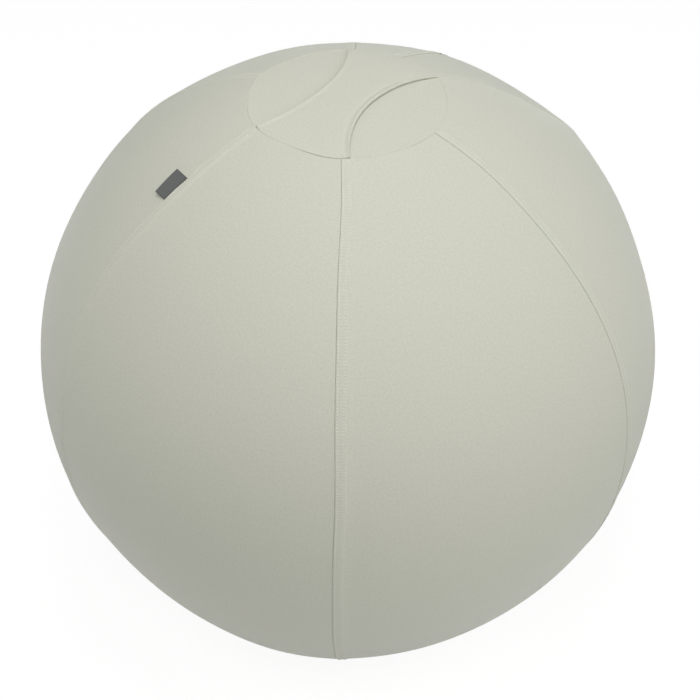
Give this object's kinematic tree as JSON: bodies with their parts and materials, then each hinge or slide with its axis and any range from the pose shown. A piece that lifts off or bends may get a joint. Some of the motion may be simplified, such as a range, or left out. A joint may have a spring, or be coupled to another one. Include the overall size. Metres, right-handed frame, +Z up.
{
  "type": "sitting ball",
  "caption": "Inflated sitting ball in a zipped cloth cover of six sewn panels, with a round top piece, a carrying strap, a label and a weighted, flat-resting base.",
  "frame": {"origin": "on the floor, under the centre of the ball", "axes": "+Z up; -Y to the front, where one end of the carrying strap is sewn in; +Y to the back, where the zip is; +X to the right"},
  "size_m": [0.6572, 0.6508, 0.639],
  "materials": {
    "cover_cloth": "matte fine knit, light grey-green",
    "grip_cloth": "matte cloth with gripping dots",
    "bladder_vinyl": "satin soft vinyl",
    "valve_vinyl": "satin moulded vinyl",
    "plug_plastic": "moulded white plug",
    "sand": "dry sand",
    "zip_tape": "woven tape in the cover's colour",
    "zip_coil": "nylon coil in the cover's colour",
    "zip_metal": "dark grey enamelled zinc",
    "label_cloth": "woven satin label, bare"
  },
  "bodies": {
    "ball": {"panel_front": "cover_cloth", "panel_right_front": "cover_cloth", "panel_right_back": "cover_cloth", "panel_back_right": "cover_cloth", "panel_back_left": "cover_cloth", "panel_left_back": "cover_cloth", "panel_left_front": "cover_cloth", "top_piece": "cover_cloth", "base_piece": "grip_cloth", "bladder": "bladder_vinyl", "valve_seat": "valve_vinyl", "valve_plug": "plug_plastic", "sand_ballast": "sand", "zip_tape_right": "zip_tape", "zip_tape_left": "zip_tape", "zip_chain_right": "zip_coil", "zip_chain_left": "zip_coil", "zip_top_stops": "zip_metal", "zip_bottom_stop": "zip_metal"},
    "strap": {"carrying_strap": "cover_cloth"},
    "slider": {"zip_slider": "zip_metal"},
    "pull": {"zip_pull": "zip_metal"},
    "flag": {"label": "label_cloth"}
  },
  "joints": [
    {"name": "strap_lift", "type": "slide", "parent": "ball", "child": "strap", "axis": [0, 0, 1], "range_m": [0, 0.022]},
    {"name": "zip_travel", "type": "hinge", "parent": "ball", "child": "slider", "pos_m": [0, 0, 0.31843], "axis": [-1, 0, 0], "range_deg": [0, 86.8], "deforming": ["zip_chain_right", "zip_chain_left"]},
    {"name": "pull_flip", "type": "hinge", "parent": "slider", "child": "pull", "pos_m": [0, 0.24677, 0.53633], "axis": [1, 0, 0], "range_deg": [0, 166]},
    {"name": "label_flap", "type": "hinge", "parent": "ball", "child": "flag", "pos_m": [-0.09036, -0.16051, 0.58971], "axis": [0.4157, 0.72, 0.5557], "range_deg": [-4, 120], "stiffness_Nm_per_rad": 0.002}
  ]
}
